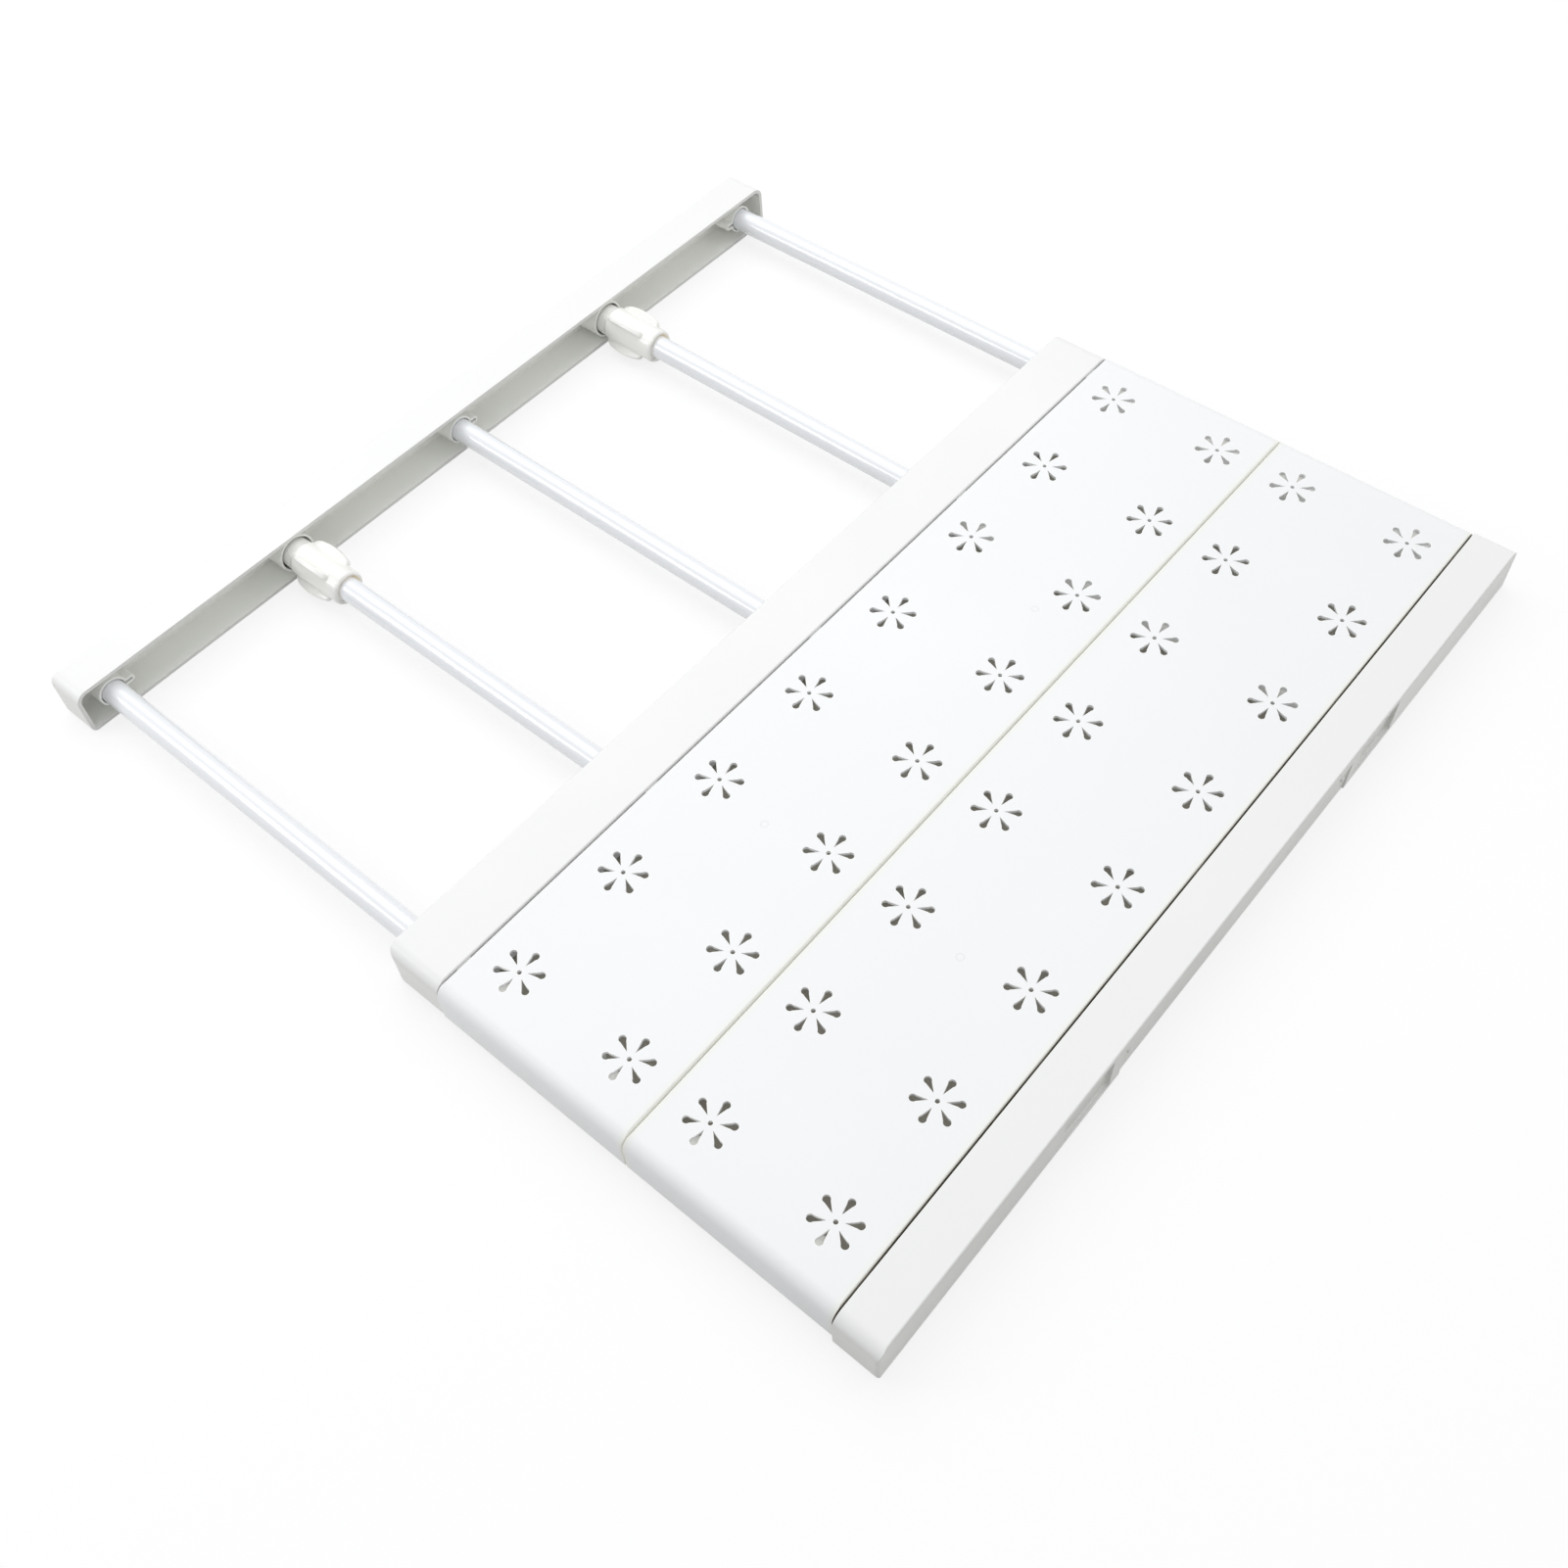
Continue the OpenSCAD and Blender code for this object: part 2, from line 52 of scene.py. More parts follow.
Color = tuple[float, float, float]
Place = tuple[float, float, float]
Pair = tuple[float, float]
Outline = Sequence[Pair]
Ring = tuple[float, Outline]

MM = 0.001
BLACK = (0.0, 0.0, 0.0, 1.0)
WHITE = (1.0, 1.0, 1.0, 1.0)

# Number of the middle tube, distance between neighbouring tubes, and height of their axes.
MIDDLE_TUBE = 3
TUBE_SPACING = 89.8 * MM
TUBE_HEIGHT = 10 * MM

# Places along x: the seam between the boards, the seam at the right rail, and the boards' middles.
BOARD_SEAM = 96.5 * MM
RAIL_SEAM = 179.0 * MM
BOARD_MIDDLES = (55.25 * MM, 137.75 * MM)

# How far the mouth of a nut's bore lies to the far side and up, where the worn nut shows its gap.
MOUTH_SHIFT = (0.36 * MM, 0.33 * MM)


class Socket(Enum):
    """Kinds of socket that a shader node group can have."""

    VALUE = "NodeSocketFloat"
    VECTOR = "NodeSocketVector"


class Side(Enum):
    """The two tubes that carry a turning nut, by the end of the shelf that they are near."""

    FAR = 2
    NEAR = 4

    @property
    def body_suffix(self) -> str:
        """The word that the moving bodies of this tube end in."""
        return self.name.lower()

    @property
    def axis(self) -> Pair:
        """Place of the tube's axis as (y, z)."""
        return (MIDDLE_TUBE - self.value) * TUBE_SPACING, TUBE_HEIGHT


class NodeGraph:
    """A small helper that adds nodes to a shader tree and links them.

    Args:
        tree: The node tree to work in.
    """

    def __init__(self, tree: NodeTree) -> None:
        """Keeps the tree."""
        self.tree = tree

    def add(self, kind: str, **values: object) -> Node:
        """Adds a node and sets its properties.

        Args:
            kind: Blender's name of the node type.
            **values: Properties of the node.

        Returns:
            The new node.
        """
        node = self.tree.nodes.new(kind)
        for name, value in values.items():
            setattr(node, name, value)
        return node

    def link(self, source: NodeSocket, target: NodeSocket) -> None:
        """Links an output socket to an input socket."""
        self.tree.links.new(source, target)

    def feed(self, node: Node, inputs: dict[object, object]) -> Node:
        """Sets or links several inputs of a node.

        Args:
            node: The node whose inputs are set.
            inputs: Input name or number, with a socket to link or a value to set.

        Returns:
            The same node.
        """
        for key, value in inputs.items():
            if isinstance(value, NodeSocket):
                self.link(value, node.inputs[key])
            else:
                node.inputs[key].default_value = value
        return node

    def group(self, tree: NodeTree, inputs: dict[object, object]) -> Node:
        """Adds a node that holds a group, feeds its inputs and returns it."""
        return self.feed(self.add("ShaderNodeGroup", node_tree=tree), inputs)

    def place(self) -> NodeOutputs:
        """Returns the sockets X, Y and Z of the place on the surface, in metres."""
        place = self.add("ShaderNodeSeparateXYZ")
        return self.feed(place, {0: self.add("ShaderNodeTexCoord").outputs["Object"]}).outputs

    def math(self, operation: str, first: object, second: object = 0.0) -> NodeSocket:
        """Adds a Math node fed by two sockets or numbers, and returns its output."""
        node = self.add("ShaderNodeMath", operation=operation)
        return self.feed(node, {0: first, 1: second}).outputs[0]

    def distance(self, first: object, second: object) -> NodeSocket:
        """Returns the distance that two offsets at right angles make together."""
        squares = self.math("ADD", self.math("POWER", first, 2.0), self.math("POWER", second, 2.0))
        return self.math("SQRT", squares)

    def remap(self, value: NodeSocket, low: object, high: object,
              to_low: float = 0.0, to_high: float = 1.0) -> NodeSocket:
        """Adds a clamped, smooth Map Range node and returns its output.

        Args:
            value: The socket to remap.
            low: Value that becomes to_low, a socket or a number.
            high: Value that becomes to_high, a socket or a number.
            to_low: Result at low.
            to_high: Result at high.

        Returns:
            The output socket.
        """
        node = self.add("ShaderNodeMapRange", interpolation_type="SMOOTHSTEP")
        inputs = {"Value": value, "From Min": low, "From Max": high, "To Min": to_low, "To Max": to_high}
        return self.feed(node, inputs).outputs["Result"]

    def mix(self, factor: object, first: object, second: object) -> NodeSocket:
        """Adds a colour Mix node, with the share of the second colour first, and returns its output."""
        node = self.add("ShaderNodeMix", data_type="RGBA")
        return self.feed(node, {0: factor, 6: first, 7: second}).outputs[2]

    def mix_shaders(self, factor: NodeSocket, first: Node, second: Node) -> Node:
        """Adds a Mix Shader node, with the share of the second shader first, and returns it."""
        node = self.add("ShaderNodeMixShader")
        return self.feed(node, {0: factor, 1: first.outputs[0], 2: second.outputs[0]})


class GroupGraph(NodeGraph):
    """A graph in a new shader node group with named inputs and outputs."""

    def __init__(self, name: str, inputs: dict[str, float], *outputs: str) -> None:
        """Makes the group and its sockets.

        Args:
            name: Name of the group.
            inputs: Names of its inputs, which are numbers, with their defaults.
            *outputs: Names of its outputs, which are numbers, but for Normal.
        """
        super().__init__(bpy.data.node_groups.new(name, "ShaderNodeTree"))
        for label, default in inputs.items():
            socket = self.tree.interface.new_socket(label, in_out="INPUT", socket_type=Socket.VALUE.value)
            socket.default_value = default
        for label in outputs:
            kind = Socket.VECTOR if label == "Normal" else Socket.VALUE
            self.tree.interface.new_socket(label, in_out="OUTPUT", socket_type=kind.value)
        self.given = self.add("NodeGroupInput").outputs
        self.result = self.add("NodeGroupOutput").inputs

    def give(self, label: str, value: NodeSocket) -> None:
        """Links a socket to one of the group's outputs."""
        self.link(value, self.result[label])


class ShaderGroups:
    """The node groups that several finishes share, each built once."""

    def __init__(self) -> None:
        """Builds the groups."""
        self.grain = self._moulded_grain()
        self.edge = self._soft_edge()
        self.mark = self._moulding_mark()
        self.hollow = self._rail_hollow()
        self.seam = self._thin_seam()
        self.bore = self._nut_bore()

    @staticmethod
    def _moulded_grain() -> NodeTree:
        """Builds the broad mottle and fine grain of a moulded or coated surface.

        Returns:
            A group that puts out a Mottle mask and a Height.
        """
        inputs = {"Mottle Scale": 18.0, "Grain Scale": 2600.0, "Stretch": 1.0}
        group = GroupGraph("moulded_grain", inputs, "Mottle", "Height")
        place = group.add("ShaderNodeTexCoord").outputs["Object"]
        stretch = group.add("ShaderNodeCombineXYZ")
        group.feed(stretch, {"X": group.given["Stretch"], "Y": 1.0, "Z": 1.0})
        scaled = group.add("ShaderNodeVectorMath", operation="MULTIPLY")
        group.feed(scaled, {0: place, 1: stretch.outputs[0]})
        noises = []
        for scale, detail in (("Mottle Scale", 3.0), ("Grain Scale", 2.0)):
            inputs = {"Vector": scaled.outputs[0], "Scale": group.given[scale], "Detail": detail}
            noises.append(group.feed(group.add("ShaderNodeTexNoise"), inputs).outputs["Fac"])
        group.give("Mottle", group.remap(noises[0], 0.3, 0.7))
        group.give("Height", noises[1])
        return group.tree

    @staticmethod
    def _soft_edge() -> NodeTree:
        """Builds the small radius that a mould leaves on every edge, as a normal, and masks of edges.

        Returns:
            A group that puts out a Normal, and the masks for painted light and shade: Edge, Rim for tops'
            edges, and Wall for sides.
        """
        inputs = {"Radius": 0.4 * MM, "Reach": 1.0 * MM}
        group = GroupGraph("soft_edge", inputs, "Normal", "Edge", "Rim", "Wall")
        small = group.feed(group.add("ShaderNodeBevel", samples=6), {"Radius": group.given["Radius"]})
        wide = group.feed(group.add("ShaderNodeBevel", samples=6), {"Radius": group.given["Reach"]})
        normal = group.add("ShaderNodeNewGeometry").outputs["Normal"]
        dot = group.add("ShaderNodeVectorMath", operation="DOT_PRODUCT")
        group.feed(dot, {0: wide.outputs[0], 1: normal})
        edge = group.remap(dot.outputs["Value"], 0.995, 0.75)
        upward = group.feed(group.add("ShaderNodeSeparateXYZ"), {0: normal}).outputs["Z"]
        group.give("Normal", small.outputs[0])
        group.give("Edge", edge)
        group.give("Rim", group.math("MULTIPLY", edge, group.remap(upward, 0.5, 0.9)))
        group.give("Wall", group.remap(upward, 0.7, 0.3))
        return group.tree

    @staticmethod
    def _moulding_mark() -> NodeTree:
        """Builds the small round mark that a mould's gate leaves on a flat top.

        Returns:
            A group that puts out a Ring mask.
        """
        inputs = {"X": 0.0, "Y": 0.0, "Radius": 1.3 * MM, "Line": 0.35 * MM,
                  "Below": 19.5 * MM, "Top": 19.9 * MM}
        group = GroupGraph("moulding_mark", inputs, "Ring")
        place = group.place()
        across = group.math("SUBTRACT", place["X"], group.given["X"])
        along = group.math("SUBTRACT", place["Y"], group.given["Y"])
        offset = group.math("SUBTRACT", group.distance(across, along), group.given["Radius"])
        ring = group.remap(group.math("ABSOLUTE", offset), group.given["Line"], 0.0)
        high = group.remap(place["Z"], group.given["Below"], group.given["Top"])
        group.give("Ring", group.math("MULTIPLY", ring, high))
        return group.tree

    @staticmethod
    def _rail_hollow() -> NodeTree:
        """Builds a mask of the end rails' hollow, where a lighter colour is painted to lift its shade.

        Returns:
            A group that puts out a Hollow mask.
        """
        inputs = {"Start": 179.6 * MM, "End": 193.9 * MM, "Reach": 192.45 * MM, "Low": 1.1 * MM,
                  "High": 18.6 * MM, "Corner": 3.8 * MM}
        group = GroupGraph("rail_hollow", inputs, "Hollow")
        given, place = group.given, group.place()
        across, along = group.math("ABSOLUTE", place["X"]), group.math("ABSOLUTE", place["Y"])
        bend = group.math("SUBTRACT", given["Reach"], given["Corner"])
        corner = group.math("MULTIPLY", group.math("GREATER_THAN", along, bend), given["Corner"])
        tests = [("GREATER_THAN", across, given["Start"]), ("LESS_THAN", across, given["End"]),
                 ("LESS_THAN", along, given["Reach"]), ("GREATER_THAN", place["Z"], given["Low"]),
                 ("LESS_THAN", place["Z"], group.math("SUBTRACT", given["High"], corner))]
        inside = 1.0
        for operation, value, limit in tests:
            inside = group.math("MULTIPLY", inside, group.math(operation, value, limit))
        group.give("Hollow", inside)
        return group.tree

    @staticmethod
    def _thin_seam() -> NodeTree:
        """Builds masks of a seam, where two neighbouring pieces turn their edges to each other, for the
        painted shade and glow there.

        Returns:
            A group that puts out a Seam mask, and a Band mask that fades away beside the seam.
        """
        inputs = {"X": BOARD_SEAM, "Half": 0.5 * MM, "Reach": 3.2 * MM}
        group = GroupGraph("thin_seam", inputs, "Seam", "Band")
        away = group.math("ABSOLUTE", group.math("SUBTRACT", group.place()["X"], group.given["X"]))
        group.give("Seam", group.math("LESS_THAN", away, group.given["Half"]))
        group.give("Band", group.remap(away, group.given["Reach"], group.given["Half"]))
        return group.tree

    @staticmethod
    def _nut_bore() -> NodeTree:
        """Builds a mask of the nuts' bores, where warm shade and glow are painted.

        Returns:
            A group that puts out a Bore mask, measured from the middle of the nuts' off-centre mouths.
        """
        inputs = {"Axis Y": TUBE_SPACING, "Axis Z": TUBE_HEIGHT, "Shift Y": MOUTH_SHIFT[0],
                  "Shift Z": MOUTH_SHIFT[1], "Radius": 5.56 * MM}
        group = GroupGraph("nut_bore", inputs, "Bore")
        given, place = group.given, group.place()
        along = group.math("FLOORED_MODULO", place["Y"], group.math("MULTIPLY", given["Axis Y"], 2.0))
        along = group.math("SUBTRACT", along, group.math("ADD", given["Axis Y"], given["Shift Y"]))
        up = group.math("SUBTRACT", place["Z"], group.math("ADD", given["Axis Z"], given["Shift Z"]))
        group.give("Bore", group.math("LESS_THAN", group.distance(along, up), given["Radius"]))
        return group.tree


@dataclass(frozen=True)
class Finish:
    """One finish: its colours, its painted light and shade, gloss and the strength of its grain.

    Args:
        name: Name of the material.
        color: Main colour.
        tint: Colour that the mottle leans to.
        painted_edge_color: Colour painted along edges: a painted highlight where it is lighter than the
            main colour, a painted shade where it is darker.
        roughness: Middle roughness.
        roughness_swing: How much the mottle changes the roughness.
        mottle_share: How far the mottle leans to the tint.
        mottle_scale: Scale of the mottle, per metre.
        grain_scale: Scale of the grain, per metre.
        grain_depth: Height of the grain.
        stretch: Scale along x beside the other directions, under 1 where the grain is drawn out.
        coat: Weight of a clear coat.
        specular: Level of the surface's plain reflection.
        edge_share: How far edges lean to their painted colour.
        edge_radius: Radius that edges show.
        edge_reach: Width of the painted edges, in radii.
        painted_edge_glow: Painted glow along the thin edges of tops, standing in for light that they let
            through.
        painted_seam_glow: Painted glow at the edges between two boards, standing in for light that they
            let through.
        painted_cover_glow: Painted glow of a piece, standing in for light that reaches it through the
            boards over it.
        painted_wall_shade: Colour of the painted shade on the sides.
        painted_hollow_light: Lighter colour painted into the end rails' hollow, as painted light that
            lifts its shade.
        painted_bore_color: Colour of the painted warm shade and glow in the nuts' bore.
        painted_bore_glow: Strength of the painted glow in the nuts' bore.
        shaded_seams: Places along x of the seams with a band of warm painted shade beside them.
        painted_seam_shade: Colour of those bands of painted shade.
        shadowed_seam: Place along x of a seam whose edges carry a painted shadow.
        shadowed_seam_half: Half the width of that seam with its edges.
        shadowed_seam_color: Colour of the painted shadow on its edges.
        marks: Places of the mould's round marks on the top, as x and y.
        mark_share: How far a mark leans to its colour.
        mark_shade: Brightness of a mark's colour beside the main colour.
    """

    name: str
    color: Color
    tint: Color
    painted_edge_color: Color
    roughness: float = 0.42
    roughness_swing: float = 0.06
    mottle_share: float = 0.35
    mottle_scale: float = 18.0
    grain_scale: float = 2600.0
    grain_depth: float = 0.004 * MM
    stretch: float = 1.0
    coat: float = 0.0
    specular: float = 0.5
    edge_share: float = 0.3
    edge_radius: float = 0.4 * MM
    edge_reach: float = 2.5
    painted_edge_glow: float = 0.0
    painted_seam_glow: float = 0.0
    painted_cover_glow: float = 0.0
    painted_wall_shade: Color | None = None
    painted_hollow_light: Color | None = None
    painted_bore_color: Color | None = None
    painted_bore_glow: float = 0.22
    shaded_seams: tuple[float, ...] = ()
    painted_seam_shade: Color = (0.874, 0.880, 0.840)
    shadowed_seam: float | None = None
    shadowed_seam_half: float = 0.36 * MM
    shadowed_seam_color: Color = (0.42, 0.38, 0.29)
    marks: tuple[Pair, ...] = ()
    mark_share: float = 0.25
    mark_shade: float = 0.6

    def build(self, groups: ShaderGroups) -> Material:
        """Makes the material.

        Args:
            groups: The shared node groups.

        Returns:
            The new material.
        """
        material = bpy.data.materials.new(self.name)
        material.use_nodes = True
        graph = NodeGraph(material.node_tree)
        shader = material.node_tree.nodes["Principled BSDF"]
        grain = graph.group(groups.grain, {"Mottle Scale": self.mottle_scale,
                                           "Grain Scale": self.grain_scale, "Stretch": self.stretch})
        edge = graph.group(groups.edge, {"Radius": self.edge_radius,
                                         "Reach": self.edge_reach * self.edge_radius})
        low, high = self.roughness - self.roughness_swing, self.roughness + self.roughness_swing
        bump = graph.add("ShaderNodeBump")
        graph.feed(bump, {"Height": grain.outputs["Height"], "Distance": self.grain_depth,
                          "Normal": edge.outputs["Normal"]})
        graph.feed(shader, {"Base Color": self._color(graph, groups, grain, edge),
                            "Roughness": graph.remap(grain.outputs["Mottle"], 0.0, 1.0, low, high),
                            "Normal": bump.outputs[0],
                            "Coat Weight": self.coat, "Specular IOR Level": self.specular})
        graph.feed(shader, self._emission(graph, groups, edge))
        return material

    def _color(self, graph: NodeGraph, groups: ShaderGroups, grain: Node, edge: Node) -> NodeSocket:
        """Lays the colours over each other: the mottled body, painted shade on the sides and beside
        seams, painted edge colour, the marks, painted light in the hollow, painted warm shade in the bore
        and a painted seam shadow.

        Args:
            graph: The material's graph.
            groups: The shared node groups.
            grain: The material's grain.
            edge: The material's soft edge.

        Returns:
            The socket of the surface's colour.
        """
        mottle = graph.math("MULTIPLY", grain.outputs["Mottle"], self.mottle_share)
        color = graph.mix(mottle, (*self.color, 1.0), (*self.tint, 1.0))
        layers = []
        # Painted shade on the sides.
        if self.painted_wall_shade:
            layers.append((edge.outputs["Wall"], self.painted_wall_shade))
        # Warm painted shade in bands beside the seams.
        for x in self.shaded_seams:
            layers.append((graph.group(groups.seam, {"X": x}).outputs["Band"], self.painted_seam_shade))
        # Edges lean to their painted colour: a painted highlight where it is lighter, a painted shade
        # where it is darker.
        layers.append((graph.math("MULTIPLY", edge.outputs["Edge"], self.edge_share), self.painted_edge_color))
        for x, y in self.marks:
            ring = graph.group(groups.mark, {"X": x, "Y": y}).outputs["Ring"]
            shade = tuple(self.mark_shade * channel for channel in self.color)
            layers.append((graph.math("MULTIPLY", ring, self.mark_share), shade))
        # Painted light in the end rails' hollow, which lifts its shade.
        if self.painted_hollow_light:
            layers.append((graph.group(groups.hollow, {}).outputs["Hollow"], self.painted_hollow_light))
        # Painted warm shade in the nuts' bore.
        if self.painted_bore_color:
            layers.append((graph.group(groups.bore, {}).outputs["Bore"], self.painted_bore_color))
        # Painted shadow on the edges of the seam at the right rail.
        if self.shadowed_seam:
            seam = graph.group(groups.seam, {"X": self.shadowed_seam, "Half": self.shadowed_seam_half})
            layers.append((seam.outputs["Seam"], self.shadowed_seam_color))
        for share, layer in layers:
            color = graph.mix(share, color, (*layer, 1.0))
        return color

    def _emission(self, graph: NodeGraph, groups: ShaderGroups, edge: Node) -> dict[str, object]:
        """Works out the painted glow that stands in for light showing through the surface.

        Args:
            graph: The material's graph.
            groups: The shared node groups.
            edge: The material's soft edge.

        Returns:
            The shader's emission inputs, or nothing where no glow is painted.
        """
        # Painted glow over the whole piece, for light through the boards over it.
        if self.painted_cover_glow:
            return {"Emission Color": (*self.color, 1.0), "Emission Strength": self.painted_cover_glow}
        # Painted warm glow in the nuts' bore.
        if self.painted_bore_color:
            bore = graph.group(groups.bore, {}).outputs["Bore"]
            share, color = graph.math("MULTIPLY", bore, self.painted_bore_glow), self.painted_bore_color
        # Painted glow along the edges of tops, in the edge colour.
        elif self.painted_edge_glow:
            share, color = graph.math("MULTIPLY", edge.outputs["Rim"], self.painted_edge_glow), self.painted_edge_color
            # Painted glow at the seam between the boards.
            if self.painted_seam_glow:
                seam = graph.group(groups.seam, {}).outputs["Seam"]
                share = graph.math("ADD", share, graph.math("MULTIPLY", seam, self.painted_seam_glow))
        else:
            return {}
        return {"Emission Color": graph.mix(share, BLACK, (*color, 1.0)), "Emission Strength": 1.0}


class Finishes:
    """Every finish of the shelf, built once."""

    def __init__(self, groups: ShaderGroups) -> None:
        """Builds the finishes.

        Args:
            groups: The shared node groups.
        """
        # The boards carry painted edge highlights and edge glow, a painted seam glow, warm painted shade
        # beside the seams and a painted shadow at the right rail's seam.
        self.board = Finish(
            "board_plastic", (0.875, 0.882, 0.893), (0.890, 0.892, 0.890), (0.95, 0.93, 0.86),
            roughness=0.36, edge_radius=0.3 * MM, edge_share=0.6, painted_edge_glow=0.12, painted_seam_glow=0.075,
            mottle_scale=12.0, shadowed_seam=RAIL_SEAM, shaded_seams=(BOARD_SEAM, RAIL_SEAM),
            marks=(*((x, -77.7 * MM) for x in BOARD_MIDDLES), (71.25 * MM, 58.0 * MM))).build(groups)
        # The rails carry painted edge highlights and edge glow, painted shade on their sides, painted
        # light in their hollow and a painted shadow at the seam.
        self.rail = Finish(
            "rail_plastic", (0.860, 0.863, 0.850), (0.845, 0.850, 0.840), (0.96, 0.96, 0.94),
            roughness=0.34, edge_radius=0.25 * MM, edge_share=0.7, painted_edge_glow=0.10, mottle_scale=14.0,
            shadowed_seam=RAIL_SEAM, painted_wall_shade=(0.791, 0.790, 0.765),
            painted_hollow_light=(0.975, 0.980, 0.945)).build(groups)
        # The nuts carry painted edge highlights, and painted warm shade and glow in their bore.
        self.nut = Finish(
            "nut_plastic", (0.925, 0.918, 0.890), (0.915, 0.905, 0.870), (0.95, 0.94, 0.91),
            roughness=0.22, roughness_swing=0.03, edge_radius=0.15 * MM, mottle_scale=60.0,
            coat=0.3, painted_bore_color=(0.88, 0.81, 0.67)).build(groups)
        enamel = {"edge_radius": 0.15 * MM, "grain_scale": 1400.0,
                  "grain_depth": 0.002 * MM, "stretch": 0.2}
        # The tubes' edges carry a darker painted shade.
        self.tube = Finish(
            "tube_enamel", (0.85, 0.865, 0.895), (0.87, 0.88, 0.90), (0.80, 0.82, 0.85),
            roughness=0.10, roughness_swing=0.02, coat=0.6, **enamel).build(groups)
        # The sleeves carry a painted glow for light through the boards, and a darker painted shade along
        # their edges.
        self.sleeve = Finish(
            "sleeve_enamel", (0.93, 0.925, 0.89), (0.92, 0.915, 0.88), (0.90, 0.895, 0.87),
            roughness=0.22, roughness_swing=0.03, coat=0.3, painted_cover_glow=0.09, **enamel).build(groups)
        # The fittings' and the lock ring's edges carry a lighter painted highlight.
        self.fitting = Finish(
            "fitting_plastic", (0.74, 0.75, 0.76), (0.70, 0.71, 0.72), (0.80, 0.80, 0.80),
            roughness=0.45, edge_radius=0.2 * MM).build(groups)
        self.lock = Finish(
            "lock_rubber", (0.030, 0.030, 0.032), (0.045, 0.045, 0.046), (0.07, 0.07, 0.07),
            roughness=0.62, edge_radius=0.2 * MM, grain_scale=1800.0, grain_depth=0.01 * MM).build(groups)

    def of_node(self, node: str) -> Material:
        """Returns the finish of a CAD node.

        Args:
            node: Name of the node.

        Returns:
            Its material.
        """
        base = node.rstrip("0123456789").rstrip("_")
        named = {
            "board_left": self.board, "board_right": self.board,
            "left_rail": self.rail, "middle_rail": self.rail, "right_rail": self.rail,
            "nut": self.nut, "lock_ring": self.lock,
            "outer_tube": self.sleeve, "glide_tube": self.tube, "screw_tube": self.tube,
        }
        return named.get(base, self.fitting)

    def dress_nodes(self) -> int:
        """Gives every carried-over CAD node its finish.

        Returns:
            How many nodes were dressed.
        """
        for name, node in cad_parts.items():
            node.data.materials.clear()
            node.data.materials.append(self.of_node(name))
        return len(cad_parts)


def new_object(name: str, mesh: bmesh.types.BMesh, material: Material) -> Object:
    """Turns a bmesh into an object in the scene, with smooth shading.

    Args:
        name: Name of the piece.
        mesh: The finished bmesh, which is freed.
        material: Its finish.

    Returns:
        The new object.
    """
    data = bpy.data.meshes.new(name)
    bmesh.ops.recalc_face_normals(mesh, faces=mesh.faces)
    mesh.to_mesh(data)
    mesh.free()
    data.materials.append(material)
    data.shade_smooth()
    piece = bpy.data.objects.new(name, data)
    bpy.context.scene.collection.objects.link(piece)
    return piece


def spaced(start: float, end: float, step: float) -> list[float]:
    """Returns evenly spaced places from start up to, but without, the end, at most a step apart."""
    count = max(1, math.ceil((end - start) / step))
    return [start + (end - start) * k / count for k in range(count)]


def round_share(share: float) -> float:
    """Returns the height of a quarter circle at a share of its width, from 0 at 0 to 1 at 1."""
    share = min(max(share, 0.0), 1.0)
    return math.sqrt(share * (2 - share))


def ring_of(radii: Sequence[float]) -> list[Pair]:
    """Returns a ring's points as (y, z) from its axis, evenly spaced and each at its own radius."""
    turn = 2 * math.pi / len(radii)
    return [(radius * math.cos(k * turn), radius * math.sin(k * turn)) for k, radius in enumerate(radii)]


def crowded_end(end: float, length: float) -> list[float]:
    """Returns places over a length that crowd towards its end, as points of a quarter circle do."""
    return [end - length * (1 - math.sin(math.radians(angle))) for angle in range(0, 91, 15)]


def lofted_skin(rings: Sequence[Ring], axis: Pair) -> bmesh.types.BMesh:
    """Makes a closed skin through rings round an axis that lies along x, where the last joins the first.

    Args:
        rings: For each ring its place along x and its points as (y, z) from the axis.
        axis: Place of the axis as (y, z).

    Returns:
        The mesh.
    """
    mesh = bmesh.new()
    rows = [[mesh.verts.new((place, axis[0] + y, axis[1] + z)) for y, z in points]
            for place, points in rings]
    for row, following in zip(rows, rows[1:] + rows[:1]):
        for k in range(len(row)):
            step = (k + 1) % len(row)
            mesh.faces.new((row[k], row[step], following[step], following[k]))
    return mesh


